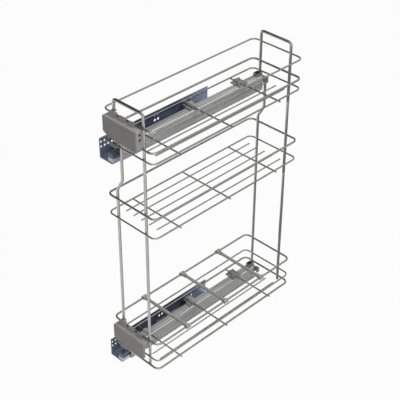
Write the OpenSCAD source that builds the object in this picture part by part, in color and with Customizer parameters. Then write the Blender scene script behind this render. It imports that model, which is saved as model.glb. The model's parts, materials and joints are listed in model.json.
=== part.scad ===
// Pull-out larder unit: three wire baskets in one wire frame, on two side-mounted runners.
// The origin is the centre of the lower runner's screw line, on the face of the cabinet side.
// +X points away from the cabinet side, -Y is the way the unit pulls out, and +Z is up.
// Heights of one storey are measured from the underside of its runner.

/* [Runners] */
// Distance between the lower and the upper runner
runner_pitch = 576; // [480:32:640]
// Distance between the first and the last cabinet screw of a runner
hole_pitch = 224; // [192:32:256]
// Distance from the first to the middle cabinet screw
mid_hole_pitch = 128; // [96:32:160]
// Height of the cabinet screws above the runner's underside
hole_h = 26; // [22:0.5:30]
// Diameter of a cabinet screw hole
hole_d = 6.4; // [5:0.1:7]
// Length of the cabinet profile
profile_l = 331; // [320:1:340]
// Distance from the cabinet profile's front end to its first screw
profile_lead = 35; // [34:0.5:37]
// Height of the flange on the cabinet side
profile_h = 48.5; // [46:0.5:56]
// Sheet thickness of the profiles
steel_t = 1.5; // [1.2:0.1:1.8]
// Width of the drawer rail
rail_w = 21; // [20:0.5:22]
// Distance from the cabinet side to the drawer rail
rail_x = 27; // [26:0.5:30]
// Length of the drawer rail
rail_l = 448; // [430:1:452]
// Length of the middle member
middle_l = 400; // [390:1:410]

/* [Baskets] */
// Width between a basket's side wires, on centre lines
basket_w = 150.4; // [146:0.2:190]
// Depth between a basket's front and rear wires, on centre lines
basket_d = 469; // [465:1:490]
// Distance from the cabinet side to the left side wires
basket_x = 7; // [6:0.5:8]
// Distance from the cabinet profile's front end back to the front wires
basket_setback = 11; // [9:0.5:13]
// Height of the rim wire above the runner's underside
rim_h = 122; // [118:1:140]
// Height of the lower guard wire above the runner's underside
guard_h = 71; // [70:0.5:74]
// Height of the floor wire above the runner's underside
floor_h = 45; // [44:0.2:46]
// Height of the middle basket's rim above the lower runner's underside
middle_rim_h = 481; // [465:1:500]
// Height of the middle basket's floor above the lower runner's underside
middle_floor_h = 430; // [400:1:450]
// Centre-line radius of the rings' corners
corner_r = 13; // [10:1:18]
// Diameter of the thin ring wires
thin_d = 4; // [3.5:0.1:4.4]
// Diameter of the thick ring wires
thick_d = 5; // [4.5:0.1:5.6]
// Diameter of the cross wires
cross_d = 4; // [3.5:0.1:4.4]
// Diameter of the floor wires
floor_d = 3.2; // [2.5:0.1:3.6]
// Distance of the outer cross wires from the front and rear wires
cross_inset = 76; // [60:1:90]
// Distance of the floor wires' ends from the front and rear wires
floor_inset = 30; // [20:1:40]
// Number of spaces between floor wires across a basket
floor_bays = 6; // [5:1:7]

/* [Frame wires] */
// Diameter of the upright frame wires
frame_d = 7; // [6:0.2:8]
// Distance from the cabinet side to the left uprights
frame_x = 35; // [34:0.5:36]
// Distance between the left and the right uprights
frame_w = 90.8; // [88:0.2:94]
// Height of the frame's top bow above the lower runner's underside
frame_top_h = 728; // [722:1:760]
// Centre-line radius of the frame's bends
frame_r = 8; // [7:1:14]
// Sideways step of the lower left uprights, which clears the upper rail
jog_w = 18; // [17.5:0.1:19]
// Bend radius of the step
jog_r = 20; // [14:1:22]
// Height over which the step happens
jog_l = 42; // [36:1:60]
// Height of the step's top above the lower runner's underside
jog_top_h = 538; // [535:1:560]

/* [Front covers] */
// Width of a front cover
cover_w = 104; // [102:1:110]
// Height of a front cover
cover_h = 48.4; // [46:0.2:50]
// Depth of a front cover
cover_d = 20.6; // [20:0.2:24]
// Distance from the cabinet side to the cover's left edge
cover_x = 24; // [22:0.5:25]
// Wall thickness of the cover
cover_t = 2.4; // [2:0.1:3]

/* [Bottle dividers] */
// Distance from the front wires back to the first divider
divider_inset = 99; // [90:1:105]
// Distance between neighbouring dividers
divider_pitch = 130; // [100:1:135]
// Diameter of a divider bar
divider_d = 8; // [6:0.5:9]
// Length of a divider clip along the rim wire
clip_l = 13; // [10:0.5:16]

/* [Hidden] */
$fn = 32;

// Fits
weld = 0.3;        // how far crossing wires sink into each other where they are welded
play = 0.3;        // gap between parts that move past each other
seat = 0.2;        // gap round a wire that is clipped or clamped
overrun = 1;       // how far a cut runs past the face it opens
arc_steps = 6;     // facets in a moulded corner or a bend of a stepped upright
tube_sides = 24;   // sides of a stepped upright
hex_sides = 6;     // sides of a screw's socket

// Places of the two storeys and of the fore-and-aft stations
lower_z = -hole_h;
upper_z = lower_z + runner_pitch;
profile_front = -hole_pitch / 2 - profile_lead;
basket_front = profile_front + basket_setback;
basket_rear = basket_front + basket_d;
upright_inset = (frame_d + thin_d) / 2 - seat;
front_upright_y = basket_front + upright_inset;
rear_upright_y = basket_rear - upright_inset;
cross_h = floor_h - (thin_d + cross_d) / 2 + weld;
cross_overhang = 3.5;
floor_drop = (thin_d - floor_d) / 2;
thick_rise = (thick_d - thin_d) / 2;
wire_slot_d = thick_d + 2 * seat;
floor_pitch = basket_w / floor_bays;
first_bay = 1;      // first floor wire of the middle basket
runner_bay = 3;     // first floor wire of the baskets that have a runner on their left

// Cabinet profile: a flange on the cabinet side, a floor and a track folded up from the floor
profile_w = 41;
track_h = 16.5;
track_w = 7.8;
small_hole_d = 3.6;
punch_d = 5;
punch_pitch = 10;
front_punches = [1, 2, 3];
upper_punches = [2, 3];
upper_hole_rise = 12;

// Middle member: a hood over the track, held down by lips under the cage's feet
middle_w = 14.4;
middle_t = 1.4;
middle_base = 7;
middle_top = 27.4;
middle_lip = 5.3;
window_l = 20;
window_h = 8;
window_lead = 2.5;
window_base = 13.5;
middle_x = rail_x + (rail_w - middle_w) / 2;
middle_front = profile_front;

// Drawer rail: a hood over the middle member, just under the cross wires
rail_top = cross_h - cross_d / 2 - seat;
rail_base = 2.8;
rail_bend = 2;
rail_lip_left = 7.5;
rail_lip_right = 4.5;
rail_front = basket_front + basket_setback + steel_t;

// Roller cages between the members
cage_t = 0.9;
inner_cage_l = 175;
outer_cage_l = 235;
inner_cage_lead = 111;
outer_cage_lead = 117;
roller_count = 8;
roller_gap = 0.3;

// Soft-close unit on the profile's floor: an open channel in front, two closed bores behind
unit_w = 19;
unit_h = 13;
unit_l = 134;
unit_x = 2.6;
unit_y = 2;
unit_wall = 1.6;
unit_floor = 1.8;
catch_l = 16;
catch_arm_t = 3;
damper_d = 7;
damper_rod_d = 2.4;
damper_inset = 5.4;
rod_stub = 5;
spring_d = 6.4;
spring_wire = 0.9;
spring_turns = 14;
spring_inset = 13.6;
peg_d = 5;
peg_l = 4.2;

// Front cover and bracket
cover_front = front_upright_y - frame_d / 2 - seat - cover_d;
cover_top = rim_h - wire_slot_d / 2;
cover_base = cover_top - cover_h;
cover_corner = 6;
cover_fold = 3.5;
cover_edge = 2;
plate_t = 4;
hook_t = 0.8;
hook_lip = 7;
hook_drop = 9;
boss_w = 24;
boss_wall = 1.5;
boss_h = 34;
lower_boss_w = 18;
lower_boss_h = 12;
centre_hook_x = 60;
centre_hook_w = 21.5;
right_hook_x = 92;
right_hook_w = 17;
side_ear_w = 7;
foot_lead = 3;
foot_l = 34;
foot_t = 3.4;
screw_d = 5;
screw_shank_d = 3;
screw_pitch = 12.3;
screw_drop = 10.6;
screw_inset = 7.5;
pocket_w = 9;
pocket_t = 0.8;
cutaway_w = 16;
cutaway_lead = 7;

// Rear bracket on the rail
rear_block_l = 18;
rear_block_h = 6;
rear_block_w = 17;
rear_block_r = 6;
rear_plate_t = 2.5;
ear_wall = 1.5;
ear_drop = 17;
ear_h = 14;
clamp_d = 6.6;
clamp_shank_d = 6.2;
clamp_head_d = 10.5;
clamp_head_h = 2.4;

// Clips that hold the cross wires on the rail
wire_clip_l = 28;
wire_clip_w = 30;
wire_clip_h = 7;
wire_clip_ridge = 11;
front_clip_w = 15;
front_clip_l = 32;
post_d = 7;
post_rise = 1;
post_shares = [[0.2, 0.3], [0.76, -0.32]];
half_clip_w = 17;
pale_clip_w = 23;
pale_clip_overhang = 5;
wing_w = 16.5;
wing_l = 23;
wing_lead = 4.6;
wing_t = 2.5;
wing_drop = 0.2;

// Dividers on the lower rim
clip_d = 11;
socket_d = 10.5;
socket_l = 8;

// Rounded outlines for extrusion

function unit(v) = v / norm(v);
function turn(a) = a > 180 ? a - 360 : a < -180 ? a + 360 : a;
function fillet(a, b, c, r) =
  let (u = unit(a - b), v = unit(c - b), half = acos(u * v) / 2,
       o = b + unit(u + v) * r / sin(half),
       s = b + u * r / tan(half) - o, e = b + v * r / tan(half) - o,
       from = atan2(s.y, s.x), sweep = turn(atan2(e.y, e.x) - from))
  [for (i = [0:arc_steps]) let (t = from + sweep * i / arc_steps) o + r * [cos(t), sin(t)]];
// Points of a polygon whose corner i has radius radii[i]
function rounded(points, radii) =
  let (n = len(points))
  [for (i = [0:n - 1]) each
    radii[i] == 0 ? [points[i]]
      : fillet(points[(i + n - 1) % n], points[i], points[(i + 1) % n], radii[i])];

// Primitive solids

module bar_x(l, d) { rotate([0, 90, 0]) cylinder(d = d, h = l); }
module bar_y(l, d) { rotate([-90, 0, 0]) cylinder(d = d, h = l); }
module bend(r, d, angle = 90) { rotate_extrude(angle = angle) translate([r, 0]) circle(d = d); }

// A closed tube through rings of points
module tube(rings) {
  n = len(rings) - 1;
  sides = len(rings[0]);
  walls = [for (i = [0:n - 1], j = [0:sides - 1])
    let (k = (j + 1) % sides, p = i * sides, q = p + sides)
    each [[p + j, q + j, q + k], [p + j, q + k, p + k]]];
  start = [for (j = [1:sides - 2]) [0, j, j + 1]];
  end = [for (j = [1:sides - 2]) [n * sides, n * sides + j + 1, n * sides + j]];
  faces = concat(walls, start, end);
  polyhedron([for (ring = rings) each ring], [for (f = faces) [f[0], f[2], f[1]]]);
}

// A section drawn in X and Z and drawn out along +Y
module along_y(l) { rotate([90, 0, 0]) translate([0, 0, -l]) linear_extrude(l) children(); }

// A section drawn in Y and Z and drawn out along +X
module along_x(l) { rotate([90, 0, 90]) linear_extrude(l) children(); }

// A hole through a flange that stands square to X
module hole_x(d, t) { translate([-overrun, 0, 0]) bar_x(t + 2 * overrun, d); }

// One rectangular ring with rounded corners, its left front corner point at the origin
module wire_ring(d) {
  w = basket_w;
  l = basket_d;
  r = corner_r;
  for (x = [0, w]) translate([x, r, 0]) bar_y(l - 2 * r, d);
  for (y = [0, l]) translate([r, y, 0]) bar_x(w - 2 * r, d);
  translate([w - r, l - r, 0]) bend(r, d);
  translate([r, l - r, 0]) rotate(90) bend(r, d);
  translate([r, r, 0]) rotate(180) bend(r, d);
  translate([w - r, r, 0]) rotate(270) bend(r, d);
}

module ring_at(h, d) { color("silver") translate([basket_x, basket_front, h]) wire_ring(d); }

// Three wires across the basket under the floor ring
module cross_wires(h) {
  color("silver")
    for (y = [cross_inset, basket_d / 2, basket_d - cross_inset])
      translate([basket_x - cross_overhang, basket_front + y, h])
        bar_x(basket_w + 2 * cross_overhang, cross_d);
}

// Wires along the basket from bay `first` on, on the cross wires and level with the ring's underside
module floor_wires(h, first) {
  color("silver")
    for (i = [first:floor_bays - 1])
      translate([basket_x + i * floor_pitch, basket_front + floor_inset, h - floor_drop])
        bar_y(basket_d - 2 * floor_inset, floor_d);
}

// Bow, long right upright and short left upright, bent from one wire
module frame_bow(y) {
  top = lower_z + frame_top_h;
  left_end = upper_z + rail_top + seat;
  right_end = lower_z + cross_h - cross_d / 2;
  color("silver") translate([frame_x, y, 0]) {
    translate([0, 0, left_end]) cylinder(d = frame_d, h = top - frame_r - left_end);
    translate([frame_w, 0, right_end]) cylinder(d = frame_d, h = top - frame_r - right_end);
    translate([frame_r, 0, top]) bar_x(frame_w - 2 * frame_r, frame_d);
    translate([frame_w - frame_r, 0, top - frame_r]) rotate([90, 0, 0]) bend(frame_r, frame_d);
    translate([frame_r, 0, top - frame_r]) rotate([90, 0, 0]) rotate(90) bend(frame_r, frame_d);
  }
}

// Lower left upright: beside the upper rail, stepped sideways below it, then down to the lower rail.
// Each station of its path is [x, z, slope], and the slope is the angle from straight down.
module left_upright(y, top) {
  jog_top = lower_z + jog_top_h;
  jog_end = jog_top - jog_l;
  low = lower_z + rail_top + seat;
  r = jog_r;
  reach = 2 * r - jog_w;
  slant_l = sqrt(pow(reach, 2) + pow(jog_l, 2) - pow(2 * r, 2));
  angle = atan2(jog_l, reach) - atan2(slant_l, 2 * r);
  slopes = [for (i = [0:arc_steps]) angle * i / arc_steps];
  path = concat(
    [[jog_w, top, 0]],
    [for (t = slopes) [jog_w - r * (1 - cos(t)), jog_top - r * sin(t), t]],
    [for (t = slopes) let (s = angle - t) [r * (1 - cos(s)), jog_end + r * sin(s), s]],
    [[0, low, 0]]);
  color("silver") translate([frame_x, y, 0])
    tube([for (p = path) [for (j = [0:tube_sides - 1])
      let (b = j * 360 / tube_sides, c = cos(b) * frame_d / 2)
      [p[0] + c * cos(p[2]), sin(b) * frame_d / 2, p[1] - c * sin(p[2])]]]);
}

// Runner members, drawn with the underside of the cabinet profile at z = 0

module profile_section() {
  square([steel_t, profile_h]);
  square([profile_w, steel_t]);
  translate([profile_w - steel_t, 0]) square([steel_t, track_h]);
  translate([profile_w - track_w, track_h - steel_t]) square([track_w, steel_t]);
}

// The screw holes and the other punched holes of the flange
module flange_holes() {
  translate([0, -hole_pitch / 2, hole_h]) {
    for (y = [0, mid_hole_pitch, hole_pitch]) translate([0, y, 0]) hole_x(hole_d, steel_t);
    for (i = front_punches) translate([0, -i * punch_pitch, 0]) hole_x(punch_d, steel_t);
    for (i = upper_punches) translate([0, -i * punch_pitch, upper_hole_rise]) hole_x(punch_d, steel_t);
    translate([0, mid_hole_pitch + punch_pitch, 0]) hole_x(hole_d, steel_t);
    for (i = [0, 1])
      translate([0, mid_hole_pitch + i * punch_pitch, upper_hole_rise])
        hole_x(small_hole_d, steel_t);
    translate([0, hole_pitch + 2 * punch_pitch, 0]) hole_x(punch_d, steel_t);
    translate([0, hole_pitch + 2 * punch_pitch, upper_hole_rise]) hole_x(small_hole_d, steel_t);
    translate([0, hole_pitch, upper_hole_rise]) hole_x(small_hole_d, steel_t);
  }
}

module cabinet_profile(z) {
  color("slategray") translate([0, 0, z]) difference() {
    translate([0, profile_front, 0]) along_y(profile_l) profile_section();
    flange_holes();
  }
}

module middle_section() {
  h = middle_top - middle_base;
  square([middle_t, h]);
  translate([middle_w - middle_t, 0]) square([middle_t, h]);
  translate([0, h - middle_t]) square([middle_w, middle_t]);
  square([middle_t + middle_lip, middle_t]);
}

// The hood reaches past the track's front end and is closed there by a bent tab
module middle_member(z) {
  lead = middle_t + play;
  color("lightsteelblue") translate([middle_x, middle_front - lead, z]) difference() {
    translate([0, 0, middle_base]) {
      along_y(middle_l + lead) middle_section();
      cube([middle_w, middle_t, middle_top - middle_base]);
    }
    translate([middle_w - middle_t - overrun, lead + window_lead, window_base])
      cube([middle_t + 2 * overrun, window_l, window_h]);
  }
}

// A hood with bent upper edges, w wide and h high
module hood(w, h, bend) { polygon(rounded([[0, 0], [w, 0], [w, h], [0, h]], [0, 0, bend, bend])); }

module rail_section() {
  h = rail_top - rail_base;
  difference() {
    hood(rail_w, h, rail_bend);
    translate([steel_t, steel_t]) hood(rail_w - 2 * steel_t, h - 2 * steel_t, rail_bend - steel_t);
    translate([steel_t + rail_lip_left, -overrun])
      square([rail_w - 2 * steel_t - rail_lip_left - rail_lip_right, steel_t + 2 * overrun]);
  }
}

module drawer_rail(z) {
  color("darkgray") translate([rail_x, rail_front, z]) {
    translate([0, 0, rail_base]) along_y(rail_l) rail_section();
    translate([-peg_l, peg_y - rail_front, arm_base + catch_arm_t / 2]) bar_x(peg_l + steel_t / 2, peg_d);
  }
}

// Cage between the track and the middle member, with a row of rollers in its windows
inner_roller_d = middle_top - middle_t - track_h - 2 * roller_gap;
inner_roller_h = (middle_top - middle_t + track_h) / 2;
inner_cage_x = middle_x + middle_t + play;
inner_cage_w = middle_w - 2 * middle_t - 2 * play;
inner_cage_y = middle_front + inner_cage_lead;
inner_foot_base = middle_base + middle_t + play;
inner_foot_top = track_h - steel_t - play;
inner_foot_w = middle_lip + cage_t;

module inner_cage_section() {
  top = inner_roller_h + cage_t;
  translate([0, inner_roller_h - cage_t]) square([inner_cage_w, 2 * cage_t]);
  translate([0, inner_foot_base]) square([cage_t, top - inner_foot_base]);
  translate([inner_cage_w - cage_t, track_h / 2]) square([cage_t, top - track_h / 2]);
  translate([0, inner_foot_base]) square([inner_foot_w, inner_foot_top - inner_foot_base]);
}

inner_roller_l = inner_cage_w - 2 * cage_t - 2 * play;

module roller_windows(l, x, w, h, d) {
  pitch = l / roller_count;
  for (i = [0:roller_count - 1])
    translate([x, (i + 1 / 2) * pitch - d / 2, h]) cube([w, d, 4 * cage_t]);
}

module inner_cage(z) {
  color("white") translate([inner_cage_x, inner_cage_y, z]) difference() {
    along_y(inner_cage_l) inner_cage_section();
    roller_windows(inner_cage_l, cage_t, inner_cage_w - 2 * cage_t, inner_roller_h - 2 * cage_t,
                   inner_roller_d + 2 * play);
  }
}

module roller_row(l, x, w, h, d) {
  pitch = l / roller_count;
  for (i = [0:roller_count - 1]) translate([x, (i + 1 / 2) * pitch, h]) bar_x(w, d);
}

module inner_rollers(z) {
  color("whitesmoke") translate([inner_cage_x, inner_cage_y, z])
    roller_row(inner_cage_l, cage_t + play, inner_roller_l, inner_roller_h, inner_roller_d);
}

// Cage between the middle member and the drawer rail
outer_roller_d = rail_top - steel_t - middle_top - 2 * roller_gap;
outer_roller_h = (rail_top - steel_t + middle_top) / 2;
outer_cage_x = rail_x + steel_t + play;
outer_cage_w = rail_w - 2 * steel_t - 2 * play;
outer_cage_y = middle_front + outer_cage_lead;
outer_foot_base = rail_base + steel_t + play;
outer_foot_top = middle_base - play;
outer_foot_w = 5;

module outer_cage_section() {
  top = outer_roller_h + cage_t;
  leg_h = top - outer_foot_base;
  translate([0, outer_roller_h - cage_t]) square([outer_cage_w, 2 * cage_t]);
  translate([0, outer_foot_base]) square([cage_t, leg_h]);
  translate([outer_cage_w - cage_t, outer_foot_base]) square([cage_t, leg_h]);
  translate([0, outer_foot_base]) square([outer_foot_w, outer_foot_top - outer_foot_base]);
  translate([outer_cage_w - outer_foot_w + cage_t, outer_foot_base])
    square([outer_foot_w - cage_t, outer_foot_top - outer_foot_base]);
}

outer_roller_l = middle_w - 2 * play;

module outer_cage(z) {
  color("white") translate([outer_cage_x, outer_cage_y, z]) difference() {
    along_y(outer_cage_l) outer_cage_section();
    roller_windows(outer_cage_l, (outer_cage_w - outer_roller_l) / 2 - play, outer_roller_l + 2 * play,
                   outer_roller_h - 2 * cage_t, outer_roller_d + 2 * play);
  }
}

module outer_rollers(z) {
  color("whitesmoke") translate([outer_cage_x, outer_cage_y, z])
    roller_row(outer_cage_l, (outer_cage_w - outer_roller_l) / 2, outer_roller_l, outer_roller_h,
               outer_roller_d);
}

// Soft-close unit: damper and return spring side by side in a housing, both tied to a catch
unit_mid = unit_y + unit_l / 2;
unit_core = steel_t + unit_h / 2;
arm_base = steel_t + unit_h + play;
peg_y = unit_mid - catch_l - play - peg_d / 2;

module soft_close_housing(z) {
  channel_w = unit_w - 2 * unit_wall;
  bore_l = unit_l / 2 - unit_wall;
  color("dimgray") translate([unit_x, unit_y, z]) difference() {
    translate([0, 0, steel_t]) cube([unit_w, unit_l, unit_h]);
    translate([unit_wall, unit_wall, steel_t + unit_floor])
      cube([channel_w, unit_l / 2 - unit_wall, unit_h]);
    translate([damper_inset, unit_l / 2 - overrun, unit_core]) bar_y(bore_l + overrun, damper_d + 2 * play);
    translate([spring_inset, unit_l / 2 - overrun, unit_core]) bar_y(bore_l + overrun, spring_d + 2 * play);
  }
}

// The carrier that runs in the channel, with an arm over the housing that the rail's peg pushes
module soft_close_catch(z) {
  x = unit_x + unit_wall + play;
  base = steel_t + unit_floor + play;
  color("gainsboro") translate([x, unit_mid - catch_l, z]) {
    translate([0, 0, base]) cube([unit_w - 2 * unit_wall - 2 * play, catch_l - play, arm_base - base]);
    translate([0, 0, arm_base]) cube([rail_x - 2 * play - x, catch_l - play, catch_arm_t]);
  }
}

module damper(z) {
  l = unit_l / 2 - unit_wall - rod_stub;
  color("darkgray") translate([unit_x + damper_inset, unit_mid, z + unit_core]) {
    bar_y(rod_stub + overrun, damper_rod_d);
    translate([0, rod_stub, 0]) bar_y(l, damper_d);
  }
}

// Centre line of a coil, and its tube ring by ring
coil_steps = 8;
coil_sides = 6;
function coil_line(d, wire, l, turns) =
  let (r = (d - wire) / 2)
  [for (i = [0:turns * coil_steps]) let (a = i * 360 / coil_steps)
    [r * cos(a), r * sin(a), l * i / (turns * coil_steps)]];
function coil_rings(d, wire, l, turns) =
  let (line = coil_line(d, wire, l, turns), slope = atan(l / (turns * PI * (d - wire))))
  [for (i = [0:len(line) - 1]) let (a = i * 360 / coil_steps)
    let (u = [cos(a), sin(a), 0], v = [sin(a) * sin(slope), -cos(a) * sin(slope), cos(slope)])
    [for (j = [0:coil_sides - 1]) let (b = j * 360 / coil_sides)
      line[i] + wire / 2 * (cos(b) * u + sin(b) * v)]];

spring_l = unit_l / 2 - unit_wall - 2 * spring_wire;
spring_line = coil_line(spring_d, spring_wire, spring_l, spring_turns);
spring_gap = min([for (i = [0:len(spring_line) - 1 - coil_steps])
  norm(spring_line[i + coil_steps] - spring_line[i])]) - spring_wire;
echo(spring_gap = spring_gap);

module return_spring(z) {
  color("silver") translate([unit_x + spring_inset, unit_mid + spring_wire / 2 + play, z + unit_core])
    rotate([-90, 0, 0]) tube(coil_rings(spring_d, spring_wire, spring_l, spring_turns));
}

// Front covers and brackets

// Front outline of the cover, whose lower left corner is cut away beside the runner
cut_shares = [[0, 0.25], [0.115, 0.125], [0.385, 0.02]];
function cover_outline(inset) =
  let (low = [for (s = cut_shares) [s[0] * cover_w + inset, s[1] * cover_h + inset]])
  rounded(concat([[inset, cover_h - inset]], low,
                 [[cover_w - inset, inset], [cover_w - inset, cover_h - inset]]),
          [cover_edge, cover_edge, cover_corner, cover_corner, cover_corner - inset, cover_edge]);
function cover_plan(inset) =
  rounded([[inset, inset], [cover_w - inset, inset], [cover_w - inset, cover_d + inset],
           [inset, cover_d + inset]],
          [cover_edge, cover_fold - inset, 0, 0]);
function cover_side(inset) =
  rounded([[inset, 0], [cover_d + inset, 0], [cover_d + inset, cover_h - inset], [inset, cover_h - inset]],
          [0, 0, 0, cover_edge]);

module cover_body(inset) {
  intersection() {
    along_y(cover_d + 2 * inset) polygon(cover_outline(inset));
    linear_extrude(cover_h) polygon(cover_plan(inset));
    along_x(cover_w) polygon(cover_side(inset));
  }
}

// Room for a wire that crosses at height h, open towards the rear
module wire_slot(h, d) {
  translate([0, basket_front, h]) {
    bar_x(basket_w + frame_x, d);
    translate([0, 0, -d / 2]) cube([basket_w + frame_x, cover_d, d]);
  }
}

screw_h = cover_top - screw_drop;
screw_y = basket_front - screw_inset;
boss_x = frame_x - frame_d / 2 - boss_wall;
hook_r = wire_slot_d / 2 + hook_t;
// Left edge and width of the three hooks over the rim wire; the first is the left upright's boss
hooks = [[boss_x, boss_w], [centre_hook_x, centre_hook_w], [right_hook_x, right_hook_w]];

bracket_front = cover_front + cover_t + play;
bracket_root = bracket_front + plate_t / 2;
plate_base = cover_base + cover_t + seat;
right_upright_x = frame_x + frame_w;
side_ear_x = cover_x + cover_w - cover_t - 2 * play - side_ear_w;
ear_split = screw_h - screw_pitch / 2;
lower_boss_base = plate_base + play + cut_shares[1][1] * cover_h;
left_upright_top = upper_z + lower_boss_base + lower_boss_h;
middle_cross_h = middle_floor_h - floor_h + cross_h;

// The upper cover has a closed right side with two adjusting screws, the lower one is cut away there
module front_cover(z, screws) {
  color("gray") translate([0, 0, z]) difference() {
    translate([cover_x, cover_front, cover_base]) difference() {
      cover_body(0);
      cover_body(cover_t);
    }
    wire_slot(guard_h, wire_slot_d);
    for (hook = hooks)
      translate([hook[0] - play, basket_front - hook_r - play, cover_top - cover_t - overrun])
      cube([hook[1] + 2 * play, cover_d, cover_t + 2 * overrun]);
    if (screws) {
      for (i = [0, 1]) translate([cover_x + cover_w - cover_t, screw_y, screw_h - i * screw_pitch]) {
        hole_x(screw_d + 2 * seat, cover_t);
        translate([cover_t - pocket_t, 0, 0]) bar_x(cover_t, pocket_w);
      }
      translate([cover_x + cover_w - pocket_t, screw_y - pocket_w / 2, screw_h - screw_pitch])
        cube([cover_t, pocket_w, screw_pitch]);
    } else {
      translate([cover_x + cover_w - cutaway_w, cover_front + cutaway_lead, cover_base - overrun])
        cube([cutaway_w + overrun, cover_d, ear_split - cover_base + overrun]);
    }
  }
}

// A hook that holds the rim wire from the front, with a lip that slopes down onto the cover
module rim_hook(x, w) {
  lid = cover_top + seat - rim_h;
  inside = cover_top - cover_t - seat - rim_h;
  low = inside - hook_drop;
  root = bracket_root - basket_front;
  translate([x, basket_front, rim_h]) along_x(w)
    polygon([[-hook_r - hook_lip, lid], [-hook_r, hook_r], [0, hook_r], [hook_r, hook_r / 2], [hook_r, low],
             [root, low], [root, inside], [-hook_r, inside], [-hook_r, lid]]);
}

module front_bracket(z, screws) {
  root = bracket_root;
  boss_d = frame_d + 2 * boss_wall;
  boss_base = rim_h + hook_r - boss_h;
  boss_rear = front_upright_y + boss_d / 2;
  cradle_front = basket_front + wire_slot_d / 2;
  foot_front = basket_front - foot_lead;
  ear_base = screws ? plate_base + cover_corner : ear_split;
  ear_top = cover_top - cover_t - seat - cover_corner;
  color("darkgray") translate([0, 0, z]) difference() {
    union() {
      difference() {
        union() {
          translate([cover_x, cover_front, cover_base]) intersection() {
            cover_body(cover_t + play);
            cube([cover_w, cover_t + play + plate_t, cover_h]);
          }
          for (hook = hooks) rim_hook(hook[0], hook[1]);
          // Boss round the upper left upright
          translate([boss_x, basket_front - hook_r, boss_base])
            cube([boss_d, boss_rear - basket_front + hook_r, boss_h]);
          translate([boss_x, root, boss_base])
            cube([boss_d, basket_front - root, boss_h - 2 * hook_r - cover_t]);
          // Boss round the end of the lower left upright
          translate([frame_x + jog_w - lower_boss_w / 2, root, lower_boss_base])
            cube([lower_boss_w, boss_rear - root, lower_boss_h]);
          // Ear that cradles the right upright
          translate([side_ear_x, root, ear_base])
            cube([side_ear_w, front_upright_y - root, ear_top - ear_base]);
        }
        wire_slot(guard_h, wire_slot_d);
        wire_slot(rim_h, wire_slot_d);
      }
      // Cradle behind the left upright, and the foot on the drawer rail, which reaches under the floor wire
      translate([boss_x, cradle_front, rail_top])
        cube([boss_d, boss_rear - cradle_front, boss_base + overrun - rail_top]);
      translate([rail_x, foot_front, rail_top]) cube([rail_w, rail_front + foot_l - foot_front, foot_t]);
    }
    for (x = [frame_x, frame_x + jog_w, right_upright_x])
      translate([x, front_upright_y, rail_top - overrun]) cylinder(d = frame_d + 2 * seat, h = rim_h);
    if (screws) for (i = [0, 1]) translate([side_ear_x - overrun, screw_y, screw_h - i * screw_pitch])
      bar_x(side_ear_w + 2 * overrun, screw_shank_d + 2 * seat);
  }
}

module adjusting_screw() {
  bar_x(side_ear_w, screw_shank_d);
  translate([side_ear_w, 0, 0]) difference() {
    bar_x(cover_t + play, screw_d);
    translate([cover_t / 2, 0, 0]) rotate([0, 90, 0]) cylinder(d = screw_d / 2, h = cover_t, $fn = hex_sides);
  }
}

module front_adjusting_screws() {
  color("black")
    for (i = [0, 1]) translate([side_ear_x, screw_y, upper_z + screw_h - i * screw_pitch]) adjusting_screw();
}

// Rear bracket: a block with a socket for the left upright on the rail, and a plate behind the rail's
// rear end, above the middle member's way, that carries an ear beside the rail
rear_block_y = rear_upright_y - frame_d / 2 - rear_block_l + rear_block_r / 2;
clamp_x = rail_x + rear_block_w / 2;
clamp_y = rear_block_y + rear_block_w / 2;

module rear_bracket(z) {
  socket = frame_d + 2 * seat;
  ear_x = rail_x + rail_w + seat;
  ear_end = frame_x + jog_w + socket / 2 + ear_wall;
  plate_y = rail_front + rail_l + seat;
  plate_low = middle_top + 2 * play;
  rear_end = rear_upright_y + socket / 2 + ear_wall;
  color("dimgray") translate([0, 0, z]) difference() {
    union() {
      translate([rail_x, rear_block_y, rail_top]) linear_extrude(rear_block_h)
        polygon(rounded([[0, 0], [rear_block_w, 0], [rear_block_w, rear_block_l], [0, rear_block_l]],
                        [rear_block_r, rear_block_r, 0, 0]));
      translate([frame_x, rear_upright_y, rail_top]) cylinder(d = socket + 2 * ear_wall, h = rear_block_h);
      translate([frame_x - socket / 2, plate_y, plate_low])
        cube([ear_end - frame_x + socket / 2, rear_plate_t, rail_top + overrun - plate_low]);
      translate([ear_x, plate_y, rail_top - ear_drop]) cube([ear_end - ear_x, rear_end - plate_y, ear_h]);
    }
    translate([frame_x, rear_upright_y, rail_top - overrun])
      cylinder(d = socket, h = rear_block_h + 2 * overrun);
    translate([frame_x + jog_w, rear_upright_y, rail_top - ear_drop - overrun])
      cylinder(d = socket, h = ear_drop + 2 * overrun);
    translate([0, basket_d, 0]) wire_slot(floor_h + thick_rise, wire_slot_d);
    translate([clamp_x, clamp_y, rail_top - overrun]) cylinder(d = clamp_d, h = rear_block_h + 2 * overrun);
  }
}

module rear_clamp_screws() {
  color("black") for (z = [lower_z, upper_z])
    translate([clamp_x, clamp_y, z + rail_top]) {
      cylinder(d = clamp_shank_d, h = rear_block_h);
      translate([0, 0, rear_block_h]) difference() {
        cylinder(d = clamp_head_d, h = clamp_head_h);
        translate([0, 0, clamp_head_h / 2])
          cylinder(d = clamp_head_d / 2, h = clamp_head_h, $fn = hex_sides);
      }
    }
}

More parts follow.
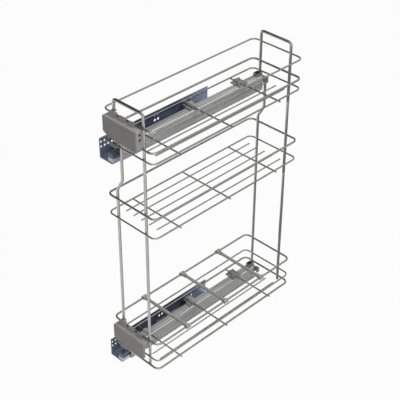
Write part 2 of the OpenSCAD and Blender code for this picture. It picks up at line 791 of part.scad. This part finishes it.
// A saddle with a ridge over a cross wire, seated on the rail
module wire_saddle(w, l, h) {
  difference() {
    union() {
      translate([0, -l / 2, 0]) cube([w, l, h / 2]);
      translate([0, -wire_clip_ridge / 2, 0]) cube([w, wire_clip_ridge, h]);
    }
    translate([-overrun, 0, cross_h - rail_top]) bar_x(w + 2 * overrun, cross_d + 2 * seat);
    translate([-overrun, -cross_d / 2 - seat, -overrun])
      cube([w + 2 * overrun, cross_d + 2 * seat, cross_h - rail_top + overrun]);
  }
}

// The half of a saddle on one side of the wire, side -1 or 1
module half_saddle(w, side) {
  intersection() {
    wire_saddle(w, wire_clip_l, wire_clip_h);
    translate([-overrun, side > 0 ? play : -wire_clip_l, -overrun])
      cube([w + 2 * overrun, wire_clip_l - play, wire_clip_h + 2 * overrun]);
  }
}

module front_wire_clips() {
  color("lightgray") for (z = [lower_z, upper_z])
    translate([rail_x, basket_front + cross_inset, z + rail_top])
      wire_saddle(front_clip_w, front_clip_l, wire_clip_h);
}

// Rear clips with two posts, and the dark front halves of the middle clips
module rail_wire_clips() {
  color("dimgray") for (z = [lower_z, upper_z]) {
    translate([rail_x + rail_w - wire_clip_w, basket_front + basket_d - cross_inset, z + rail_top]) {
      wire_saddle(wire_clip_w, wire_clip_l, wire_clip_h);
      for (s = post_shares) translate([s[0] * wire_clip_w, s[1] * wire_clip_l, 0])
        cylinder(d = post_d, h = wire_clip_h + post_rise);
    }
    translate([rail_x, basket_front + basket_d / 2, z + rail_top]) half_saddle(half_clip_w, -1);
  }
}

// Pale rear halves of the middle clips, with a leg down the rail's left side and a wing over the gap
module middle_wire_clips() {
  leg_y = cross_d / 2 + seat;
  color("lightgray") for (z = [lower_z, upper_z])
    translate([rail_x, basket_front + basket_d / 2, z + rail_top]) {
      translate([-pale_clip_overhang, 0, 0]) half_saddle(pale_clip_w, 1);
      translate([-pale_clip_overhang, leg_y, -wing_t - wing_drop])
        cube([pale_clip_overhang - play, wire_clip_l / 2 - leg_y, wing_t + wing_drop + wire_clip_h / 2]);
      translate([-play - wing_w, -wing_lead, -wing_t - wing_drop]) cube([wing_w, wing_l, wing_t]);
    }
}

// Bottle dividers: a bar between two clips that slide on the lower rim's side wires

divider_y = basket_front + divider_inset;

module divider_bar(i) {
  x = basket_x + clip_d / 2;
  color("silver") translate([x, divider_y + i * divider_pitch, lower_z + rim_h])
    bar_x(basket_w - clip_d, divider_d);
}

module divider_clip() {
  difference() {
    union() {
      translate([0, -clip_l / 2, 0]) bar_y(clip_l, clip_d);
      bar_x(clip_d / 2 + socket_l, socket_d);
    }
    translate([0, -clip_l / 2 - overrun, 0]) bar_y(clip_l + 2 * overrun, thick_d + 2 * play);
    translate([-thick_d / 2 + play, -clip_l / 2 - overrun, -clip_d])
      cube([thick_d - 2 * play, clip_l + 2 * overrun, clip_d]);
    translate([clip_d / 2, 0, 0]) bar_x(socket_l + overrun, divider_d);
  }
}

module divider_clips(i) {
  color("lightgray") translate([basket_x, divider_y + i * divider_pitch, lower_z + rim_h]) {
    divider_clip();
    translate([basket_w, 0, 0]) mirror([1, 0, 0]) divider_clip();
  }
}

cabinet_profile(lower_z);  // lower_cabinet_profile
cabinet_profile(upper_z);  // upper_cabinet_profile
soft_close_housing(lower_z);  // lower_soft_close_housing
soft_close_housing(upper_z);  // upper_soft_close_housing
soft_close_catch(lower_z);  // lower_soft_close_catch
soft_close_catch(upper_z);  // upper_soft_close_catch
damper(lower_z);  // lower_damper
damper(upper_z);  // upper_damper
return_spring(lower_z);  // lower_return_spring
return_spring(upper_z);  // upper_return_spring
middle_member(lower_z);  // lower_middle_member
middle_member(upper_z);  // upper_middle_member
inner_cage(lower_z);  // lower_inner_cage
inner_cage(upper_z);  // upper_inner_cage
inner_rollers(lower_z);  // lower_inner_rollers
inner_rollers(upper_z);  // upper_inner_rollers
outer_cage(lower_z);  // lower_outer_cage
outer_cage(upper_z);  // upper_outer_cage
outer_rollers(lower_z);  // lower_outer_rollers
outer_rollers(upper_z);  // upper_outer_rollers
drawer_rail(lower_z);  // lower_drawer_rail
drawer_rail(upper_z);  // upper_drawer_rail
front_bracket(lower_z, false);  // lower_front_bracket
front_bracket(upper_z, true);  // upper_front_bracket
front_cover(lower_z, false);  // lower_front_cover
front_cover(upper_z, true);  // upper_front_cover
front_adjusting_screws();
rear_bracket(lower_z);  // lower_rear_bracket
rear_bracket(upper_z);  // upper_rear_bracket
rear_clamp_screws();
front_wire_clips();
middle_wire_clips();
rail_wire_clips();
ring_at(upper_z + rim_h, thin_d);  // upper_rim_ring
ring_at(upper_z + guard_h, thick_d);  // upper_guard_ring
ring_at(upper_z + floor_h, thin_d);  // upper_floor_ring
ring_at(lower_z + middle_rim_h, thick_d);  // middle_rim_ring
ring_at(lower_z + middle_floor_h, thin_d);  // middle_floor_ring
ring_at(lower_z + rim_h, thick_d);  // lower_rim_ring
ring_at(lower_z + guard_h, thin_d);  // lower_guard_ring
ring_at(lower_z + floor_h + thick_rise, thick_d);  // lower_floor_ring
cross_wires(upper_z + cross_h);  // upper_cross_wires
cross_wires(lower_z + middle_cross_h);  // middle_cross_wires
cross_wires(lower_z + cross_h);  // lower_cross_wires
floor_wires(upper_z + floor_h, runner_bay);  // upper_floor_wires
floor_wires(lower_z + middle_floor_h, first_bay);  // middle_floor_wires
floor_wires(lower_z + floor_h, runner_bay);  // lower_floor_wires
frame_bow(front_upright_y);  // front_frame_bow
frame_bow(rear_upright_y);  // rear_frame_bow
left_upright(front_upright_y, left_upright_top);  // front_left_upright
left_upright(rear_upright_y, upper_z + rail_top);  // rear_left_upright
divider_bar(0);  // front_divider_bar
divider_bar(1);  // centre_divider_bar
divider_bar(2);  // rear_divider_bar
divider_clips(0);  // front_divider_clips
divider_clips(1);  // centre_divider_clips
divider_clips(2);  // rear_divider_clips
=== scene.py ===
"""Looks, camera and light of the pull-out larder unit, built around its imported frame.

Lengths are in metres, and colours are linear."""
import json
import math
import bpy
from mathutils import Euler, Matrix, Vector


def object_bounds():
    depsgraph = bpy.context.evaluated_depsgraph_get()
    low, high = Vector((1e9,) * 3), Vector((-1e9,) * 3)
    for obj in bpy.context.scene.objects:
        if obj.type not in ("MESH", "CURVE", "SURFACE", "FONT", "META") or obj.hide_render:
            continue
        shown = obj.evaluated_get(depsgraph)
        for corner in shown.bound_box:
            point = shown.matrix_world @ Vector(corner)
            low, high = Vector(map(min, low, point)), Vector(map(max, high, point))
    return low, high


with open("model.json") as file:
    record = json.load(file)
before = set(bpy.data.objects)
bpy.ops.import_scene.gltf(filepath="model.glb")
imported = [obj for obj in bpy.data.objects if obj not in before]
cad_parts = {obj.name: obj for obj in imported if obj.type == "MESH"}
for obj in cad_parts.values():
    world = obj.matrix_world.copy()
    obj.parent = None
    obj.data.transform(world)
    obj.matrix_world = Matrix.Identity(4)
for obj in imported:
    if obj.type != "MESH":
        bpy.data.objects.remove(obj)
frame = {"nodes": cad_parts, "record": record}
cad_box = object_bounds()
MM = 0.001

# Camera, solved from the straight wires of the photograph
CAMERA_PLACE = Vector((1.47813, -1.34296, 1.75319))
CAMERA_AZIMUTH = math.radians(44.473)
CAMERA_ELEVATION = math.radians(34.813)
CAMERA_ROLL = math.radians(0.373)
CAMERA_LENS = 93.35
CAMERA_NEAR = 0.05
CAMERA_FAR = 60


def add_object(name, data):
    """A new object in the scene."""
    thing = bpy.data.objects.new(name, data)
    bpy.context.scene.collection.objects.link(thing)
    return thing


def make_camera():
    """The camera at the photograph's place, with its focal length."""
    data = bpy.data.cameras.new("camera")
    data.lens = CAMERA_LENS
    data.clip_start = CAMERA_NEAR
    data.clip_end = CAMERA_FAR
    camera = add_object("camera", data)
    aim = Euler((math.pi / 2 - CAMERA_ELEVATION, 0, CAMERA_AZIMUTH)).to_matrix()
    rolled = aim @ Matrix.Rotation(CAMERA_ROLL, 3, "Z")
    camera.matrix_world = Matrix.Translation(CAMERA_PLACE) @ rolled.to_4x4()
    bpy.context.scene.camera = camera


make_camera()
bpy.context.scene.view_settings.view_transform = "Standard"


# Node helpers

def rgba(value):
    """A colour, or the grey of one number, without transparency."""
    channels = value if isinstance(value, tuple) else (value,) * 3
    return (*channels, 1)


class Nodes:
    """Short names for adding and joining the nodes of one tree."""

    def __init__(self, tree):
        self.tree = tree
        tree.nodes.clear()

    def add(self, kind, **settings):
        """A node of a kind, with its settings."""
        node = self.tree.nodes.new(kind)
        for name, value in settings.items():
            setattr(node, name, value)
        return node

    def link(self, source, target):
        """Joins an output socket to an input socket."""
        self.tree.links.new(source, target)

    def calc(self, operation, *values, clamp=False):
        """The result of a sum or a product of sockets and plain numbers."""
        node = self.add("ShaderNodeMath", operation=operation, use_clamp=clamp)
        for socket, value in zip(node.inputs, values):
            if isinstance(value, (int, float)):
                socket.default_value = value
            else:
                self.link(value, socket)
        return node.outputs[0]

    def split(self, vector):
        """The X, Y and Z sockets of a vector."""
        node = self.add("ShaderNodeSeparateXYZ")
        self.link(vector, node.inputs[0])
        return node.outputs

    def facing(self):
        """The X, Y and Z sockets of the direction that the surface faces."""
        return self.split(self.add("ShaderNodeNewGeometry").outputs["Normal"])

    def noise(self, scale, detail=3, stretch=(1, 1, 1)):
        """Noise in object coordinates, drawn out along each axis whose stretch is under 1."""
        coords = self.add("ShaderNodeTexCoord")
        mapping = self.add("ShaderNodeMapping")
        mapping.inputs["Scale"].default_value = stretch
        self.link(coords.outputs["Object"], mapping.inputs["Vector"])
        node = self.add("ShaderNodeTexNoise")
        node.inputs["Scale"].default_value = scale
        node.inputs["Detail"].default_value = detail
        self.link(mapping.outputs["Vector"], node.inputs["Vector"])
        return node.outputs["Fac"]

    def stops(self, source, first, last, *inner):
        """A colour or a grey that runs through stops, each a place and a value."""
        node = self.add("ShaderNodeValToRGB")
        elements = node.color_ramp.elements
        for element, (place, value) in zip(elements, (first, last)):
            element.position = place
            element.color = rgba(value)
        for place, value in inner:
            elements.new(place).color = rgba(value)
        self.link(source, node.inputs["Fac"])
        return node.outputs["Color"]

    def ramp(self, source, low, high, start=0.3, end=0.7):
        """A colour or a grey that runs from low to high as source goes from start to end."""
        return self.stops(source, (start, low), (end, high))

    def toward(self, share, source, fixed):
        """A colour or a grey that goes from source to a fixed one by a share."""
        node = self.add("ShaderNodeMix", data_type="RGBA")
        self.link(share, node.inputs["Factor"])
        self.link(source, node.inputs["A"])
        node.inputs["B"].default_value = rgba(fixed)
        return node.outputs["Result"]

    def bump(self, height, strength, distance):
        """Relief whose height follows a socket."""
        node = self.add("ShaderNodeBump")
        node.inputs["Strength"].default_value = strength
        node.inputs["Distance"].default_value = distance
        self.link(height, node.inputs["Height"])
        return node.outputs["Normal"]

    def blend(self, share, first, second):
        """A mix of two shader nodes, with a share of the second."""
        node = self.add("ShaderNodeMixShader")
        self.link(share, node.inputs["Fac"])
        self.link(first.outputs[0], node.inputs[1])
        self.link(second.outputs[0], node.inputs[2])
        return node


def new_material(name):
    """A material with an empty tree, and the helper for that tree."""
    material = bpy.data.materials.new(name)
    material.use_nodes = True
    return material, Nodes(material.node_tree)


def show(nodes, shader, output="ShaderNodeOutputMaterial"):
    """Makes a shader node the one that the tree shows."""
    nodes.link(shader.outputs[0], nodes.add(output).inputs["Surface"])


def surface(name, metallic):
    """A material with one Principled shader, and the helper for its tree."""
    material, nodes = new_material(name)
    shader = nodes.add("ShaderNodeBsdfPrincipled")
    shader.inputs["Metallic"].default_value = metallic
    show(nodes, shader)
    return material, nodes, shader


def finish_with(nodes, shader, tone, roughness, relief):
    """Gives a Principled shader its colour, roughness and relief."""
    nodes.link(tone, shader.inputs["Base Color"])
    nodes.link(roughness, shader.inputs["Roughness"])
    nodes.link(relief, shader.inputs["Normal"])


# Materials

ROLLING_STRETCH = (1, 0.03, 1)
STREAK_STRETCH = (1, 0.015, 1)
PATCH_STRETCH = (1, 0.5, 1)
FINE_GRAIN = 2600
CAST_GRAIN = 1800
SCREW_GRAIN = 1500


def chrome_wire():
    """Drawn wire under polished chrome plate: faint cloudiness, and the drawing's fine waviness."""
    material, nodes, shader = surface("chrome_wire", metallic=1.0)
    cloud = nodes.noise(scale=60)
    tone = nodes.ramp(cloud, (0.42, 0.42, 0.415), (0.49, 0.49, 0.48))
    roughness = nodes.ramp(nodes.noise(scale=400), 0.17, 0.25)
    waves = nodes.bump(nodes.noise(scale=500, detail=2), strength=0.05, distance=0.1 * MM)
    finish_with(nodes, shader, tone, roughness, waves)
    return material


def zinc(name, low, high, roughness, end, level, lip):
    """Zinc plate with rolling marks of the sheet and patches of tone, paler toward both ends by the
    amount end.
    Painted light on top of that: faces that look up are paler by the amount level, and the lowest
    share of the height, lip, is paler too, a painted highlight along the lower lip."""
    middle = 0.12
    middle_start = 0.12
    middle_end = 0.72
    shoulder = 0.67 * end
    shoulder_place = 0.86
    lip_highlight_amount = 0.8
    patch_amount = 0.5
    material, nodes, shader = surface(name, metallic=0.5)
    place = nodes.split(nodes.add("ShaderNodeTexCoord").outputs["Generated"])
    ends = nodes.stops(place["Y"], (0.0, end), (1.0, end), (middle_start, middle),
                       (middle_end, middle), (shoulder_place, shoulder))
    patches = nodes.noise(scale=22, detail=4, stretch=PATCH_STRETCH)
    drift = nodes.calc("MULTIPLY_ADD", patches, patch_amount, ends)
    # Painted light: faces that look up are made paler by the amount level, standing in for the
    # light that falls on them
    painted_top_light = nodes.ramp(nodes.facing()["Z"], 0.0, level, start=0.6, end=0.95)
    # Painted highlight: the lowest share of the height, lip, is made paler, standing in for the
    # light along the lower lip
    painted_lip_highlight = nodes.ramp(place["Z"], lip_highlight_amount, 0.0, start=0.8 * lip, end=1.2 * lip)
    paler = nodes.calc("ADD", nodes.calc("ADD", drift, painted_top_light), painted_lip_highlight)
    marks = nodes.noise(scale=900, stretch=ROLLING_STRETCH)
    finish_with(nodes, shader,
                nodes.ramp(paler, low, high, start=0.25, end=1.0),
                nodes.ramp(marks, roughness - 0.07, roughness + 0.1),
                nodes.bump(marks, strength=0.12, distance=0.08 * MM))
    return material


def rail_grey():
    """Satin grey coat on the roll-formed rail with streaks along it, and a painted highlight: where
    its bends face up and to the right they turn into near-white polished mirror.
    """
    painted_highlight_white = (0.97, 0.97, 0.96)
    painted_highlight_roughness = 0.10
    material, nodes, shader = surface("rail_grey", metallic=0.0)
    streaks = nodes.noise(scale=420, detail=4, stretch=STREAK_STRETCH)
    coat = nodes.ramp(streaks, (0.22, 0.22, 0.215), (0.49, 0.485, 0.47), start=0.34, end=0.66)
    facing = nodes.facing()
    # Painted highlight: faces that turn up and to the right, on the rail's top bends, become
    # near-white mirror with low roughness
    up_right_facing = nodes.calc("MULTIPLY", facing["X"], facing["Z"])
    painted_highlight_mask = nodes.ramp(up_right_facing, 0.0, 1.0, start=0.20, end=0.32)
    nodes.link(painted_highlight_mask, shader.inputs["Metallic"])
    finish_with(nodes, shader,
                nodes.toward(painted_highlight_mask, coat, painted_highlight_white),
                nodes.toward(painted_highlight_mask, nodes.ramp(streaks, 0.34, 0.48), painted_highlight_roughness),
                nodes.bump(streaks, strength=0.25, distance=0.1 * MM))
    return material


def moulded(name, low, high, roughness, grain=FINE_GRAIN, metallic=0.0):
    """Moulded or cast grey with a fine eroded grain and slight drift of tone."""
    material, nodes, shader = surface(name, metallic)
    fine = nodes.noise(scale=grain, detail=2)
    finish_with(nodes, shader,
                nodes.ramp(nodes.noise(scale=35, detail=4), low, high),
                nodes.ramp(fine, roughness - 0.05, roughness + 0.07),
                nodes.bump(fine, strength=0.2, distance=0.06 * MM))
    return material


# In each zinc look, level and lip set the painted light on faces that look up and the painted
# highlight along the lower lip
ZINC = {
    "zinc_blue": dict(low=(0.075, 0.095, 0.17), high=(0.41, 0.47, 0.62), roughness=0.32,
                      end=0.9, level=0.8, lip=0.10),
    "zinc_bright": dict(low=(0.07, 0.08, 0.12), high=(0.56, 0.61, 0.72), roughness=0.28,
                        end=0.12, level=0.2, lip=0.4),
}
MOULDED = {
    "die_cast": dict(low=(0.30, 0.295, 0.28), high=(0.36, 0.355, 0.335), roughness=0.42,
                     grain=CAST_GRAIN, metallic=0.3),
    "cover_grey": dict(low=(0.295, 0.29, 0.28), high=(0.335, 0.33, 0.318), roughness=0.52),
    "dark_plastic": dict(low=(0.18, 0.18, 0.177), high=(0.26, 0.26, 0.255), roughness=0.40),
    "light_plastic": dict(low=(0.30, 0.305, 0.285), high=(0.37, 0.375, 0.355), roughness=0.42),
    "white_plastic": dict(low=(0.66, 0.66, 0.64), high=(0.74, 0.74, 0.72), roughness=0.38),
    "satin_bar": dict(low=(0.37, 0.37, 0.36), high=(0.44, 0.44, 0.43), roughness=0.36,
                      grain=CAST_GRAIN, metallic=0.3),
    "dark_screw": dict(low=(0.05, 0.05, 0.05), high=(0.10, 0.10, 0.10), roughness=0.34,
                       grain=SCREW_GRAIN, metallic=0.8),
}
materials = {"chrome_wire": chrome_wire(), "rail_grey": rail_grey()}
materials.update({name: zinc(name, **look) for name, look in ZINC.items()})
materials.update({name: moulded(name, **look) for name, look in MOULDED.items()})

slot_of = {piece["node"]: piece["material_slot"] for piece in frame["record"]["subparts"]}

# Pieces that look satin although their slot in the record is chrome
DIVIDER_BARS = ("front_divider_bar", "centre_divider_bar", "rear_divider_bar")
look_of = {bar: "satin_bar" for bar in DIVIDER_BARS}


# Edges of the CAD pieces

# How far the edges of each slot are rounded where they turn by more than ROUND_ANGLE. The slots
# that aren't here, those of the wires and of the roller cages, keep their edges as they are
EDGE_ROUND = {
    "zinc_blue": 0.5 * MM, "zinc_bright": 0.4 * MM, "rail_grey": 0.5 * MM, "die_cast": 0.5 * MM,
    "cover_grey": 0.35 * MM, "dark_plastic": 0.4 * MM, "light_plastic": 0.5 * MM,
    "dark_screw": 0.25 * MM,
}
ROUND_ANGLE = math.radians(32)
ROUND_SEGMENTS = 2
WELD_DISTANCE = 0.002 * MM

# The angles past which an edge stays crisp, on pieces that aren't rounded and on those that are
CRISP_WIRE = math.radians(55)
CRISP_SHAPE = math.radians(20)


def crisp_edges(name, limit):
    """A node group that keeps edges sharper than limit crisp and smooths the rest."""
    group = bpy.data.node_groups.new(name, "GeometryNodeTree")
    for direction in ("INPUT", "OUTPUT"):
        group.interface.new_socket(
            "Geometry", in_out=direction, socket_type="NodeSocketGeometry")
    nodes = Nodes(group)
    start = nodes.add("NodeGroupInput")
    angle = nodes.add("GeometryNodeInputMeshEdgeAngle")
    sharp = nodes.add("FunctionNodeCompare", data_type="FLOAT", operation="GREATER_THAN")
    sharp.inputs["B"].default_value = limit
    crisp = nodes.add("GeometryNodeSetShadeSmooth", domain="EDGE")
    crisp.inputs["Shade Smooth"].default_value = False
    end = nodes.add("NodeGroupOutput")
    nodes.link(angle.outputs["Unsigned Angle"], sharp.inputs["A"])
    nodes.link(start.outputs[0], crisp.inputs["Geometry"])
    nodes.link(sharp.outputs["Result"], crisp.inputs["Selection"])
    nodes.link(crisp.outputs["Geometry"], end.inputs[0])
    return group


crisp_wire = crisp_edges("crisp_wire", CRISP_WIRE)
crisp_shape = crisp_edges("crisp_shape", CRISP_SHAPE)


def dress(name, node):
    """Gives a CAD node its material, smooth shading and softened edges."""
    slot = slot_of[name]
    node.data.materials.clear()
    node.data.materials.append(materials[look_of.get(name, slot)])
    node.data.shade_smooth()
    weld = node.modifiers.new("weld", "WELD")
    weld.merge_threshold = WELD_DISTANCE
    if slot in EDGE_ROUND:
        bevel = node.modifiers.new("edge", "BEVEL")
        bevel.width = EDGE_ROUND[slot]
        bevel.segments = ROUND_SEGMENTS
        bevel.limit_method = "ANGLE"
        bevel.angle_limit = ROUND_ANGLE
    crisp = node.modifiers.new("crisp", "NODES")
    crisp.node_group = crisp_shape if slot in EDGE_ROUND else crisp_wire
    if slot in EDGE_ROUND:
        flat = node.modifiers.new("flat_faces", "WEIGHTED_NORMAL")
        flat.keep_sharp = True


for node_name, cad_node in frame["nodes"].items():
    dress(node_name, cad_node)


# Floor, white surroundings and soft studio light

FLOOR_SIZE = 12.0
FLOOR_GAP = 0.5 * MM
FLOOR_TONE = 0.5
# The share of plain white that the floor shows where it is seen directly
FLOOR_GLOW = 0.96
AMBIENT = 0.45
WHITE = 0.98
KEY_DIRECTION = (0.60, 0.12, 0.79)
KEY_DISTANCE = 2.4
KEY_SIZE = 1.4
KEY_POWER = 40


def seen_directly(nodes):
    """1 for rays that show the background: from the camera, off metal, or through glass."""
    path = nodes.add("ShaderNodeLightPath").outputs
    seen = nodes.calc("ADD", path["Is Camera Ray"], path["Is Glossy Ray"], clamp=True)
    return nodes.calc("ADD", seen, path["Is Transmission Ray"], clamp=True)


def make_world():
    """White where the surroundings show, and a weaker white light from all around."""
    world = bpy.data.worlds.new("studio")
    world.use_nodes = True
    nodes = Nodes(world.node_tree)
    ambient = nodes.add("ShaderNodeBackground")
    ambient.inputs["Color"].default_value = rgba(1)
    ambient.inputs["Strength"].default_value = AMBIENT
    white = nodes.add("ShaderNodeBackground")
    white.inputs["Color"].default_value = rgba(WHITE)
    show(nodes, nodes.blend(seen_directly(nodes), ambient, white), "ShaderNodeOutputWorld")
    bpy.context.scene.world = world


def sheet(name, corners):
    """A flat mesh by its corners, which faces the side that sees them run counterclockwise."""
    mesh = bpy.data.meshes.new(name)
    mesh.from_pydata(corners, [], [tuple(range(len(corners)))])
    return mesh


def make_floor():
    """A pale floor that shows white, with a trace of the object's shadow."""
    half = FLOOR_SIZE / 2
    mesh = sheet("floor", [(-half, -half, 0), (half, -half, 0), (half, half, 0), (-half, half, 0)])
    floor = add_object("floor", mesh)
    floor.location.z = cad_box[0].z - FLOOR_GAP
    material, nodes = new_material("floor")
    diffuse = nodes.add("ShaderNodeBsdfDiffuse")
    diffuse.inputs["Color"].default_value = rgba(FLOOR_TONE)
    glow = nodes.add("ShaderNodeEmission")
    share = nodes.calc("MULTIPLY", seen_directly(nodes), FLOOR_GLOW)
    show(nodes, nodes.blend(share, diffuse, glow))
    mesh.materials.append(material)


def area_lamp(name, direction, distance, size, power):
    """A square lamp that looks at the middle of the object from a direction."""
    data = bpy.data.lights.new(name, "AREA")
    data.size = size
    data.energy = power
    lamp = add_object(name, data)
    middle = (cad_box[0] + cad_box[1]) / 2
    direction = Vector(direction).normalized()
    lamp.location = middle + direction * distance
    lamp.rotation_mode = "QUATERNION"
    lamp.rotation_quaternion = direction.to_track_quat("Z", "Y")
    lamp.visible_glossy = False


make_world()
make_floor()
area_lamp("key_lamp", KEY_DIRECTION, KEY_DISTANCE, KEY_SIZE, KEY_POWER)


# Cards that only polished metal sees, which give the chrome its dark bands

WALL_TONE = 0.07
BACK_WALL_TONE = 0.12
WALL_TOP = 9.0
FRONT_CORNER = (1.5, -5.5)
LEFT_FRONT_CORNER = (-5.5, -2.0)
LEFT_BACK_CORNER = (-5.5, 3.4)
BACK_CORNER = (-2.6, 6.4)
SCREEN_TONE = 0.40
SCREEN_FOOT = -0.1
SCREEN_TOP = 3.2
SCREEN_RIGHT_END = (5.6, 0.6)
SCREEN_LEFT_END = (0.6, 5.6)
REAR_TONE = 0.30
REAR_HEIGHTS = (0.15, 0.35, 0.55)
REAR_WIDTH = (0.05, 0.60)
REAR_DEPTH = (0.06, 0.60)
# The lowest card starts beside the lower rail, so that it doesn't darken the rail's side
LOWEST_REAR_WIDTH = (0.09, 0.60)


def card(name, tone, corners):
    """A card by its corners, seen from its front side only, and only in polished metal."""
    mesh = sheet(name, corners)
    panel = add_object(name, mesh)
    material, nodes = new_material(name)
    glow = nodes.add("ShaderNodeEmission")
    glow.inputs["Color"].default_value = rgba(tone)
    clear = nodes.add("ShaderNodeBsdfTransparent")
    behind = nodes.add("ShaderNodeNewGeometry").outputs["Backfacing"]
    show(nodes, nodes.blend(behind, glow, clear))
    mesh.materials.append(material)
    panel.visible_camera = False
    panel.visible_diffuse = False
    panel.visible_shadow = False
    panel.visible_transmission = False


def standing_card(name, tone, start, end, low, high):
    """A card that stands on the line from start to end, and faces the left of that line."""
    card(name, tone, [(*end, low), (*start, low), (*start, high), (*end, high)])


def lying_card(name, tone, height, x_range, y_range):
    """A level card that is seen from above."""
    x0, x1 = x_range
    y0, y1 = y_range
    card(name, tone, [(x0, y0, height), (x1, y0, height), (x1, y1, height), (x0, y1, height)])


standing_card("front_left_card", WALL_TONE, LEFT_FRONT_CORNER, FRONT_CORNER, 0.0, WALL_TOP)
standing_card("left_card", WALL_TONE, LEFT_BACK_CORNER, LEFT_FRONT_CORNER, 0.0, WALL_TOP)
standing_card("back_left_card", BACK_WALL_TONE, BACK_CORNER, LEFT_BACK_CORNER, 0.0, WALL_TOP)
standing_card(
    "back_right_card", SCREEN_TONE, SCREEN_RIGHT_END, SCREEN_LEFT_END, SCREEN_FOOT, SCREEN_TOP)
lying_card(
    "rear_card_0", REAR_TONE, cad_box[0].z - FLOOR_GAP / 2, LOWEST_REAR_WIDTH, REAR_DEPTH)
for count, height in enumerate(REAR_HEIGHTS, 1):
    lying_card(f"rear_card_{count}", REAR_TONE, height, REAR_WIDTH, REAR_DEPTH)
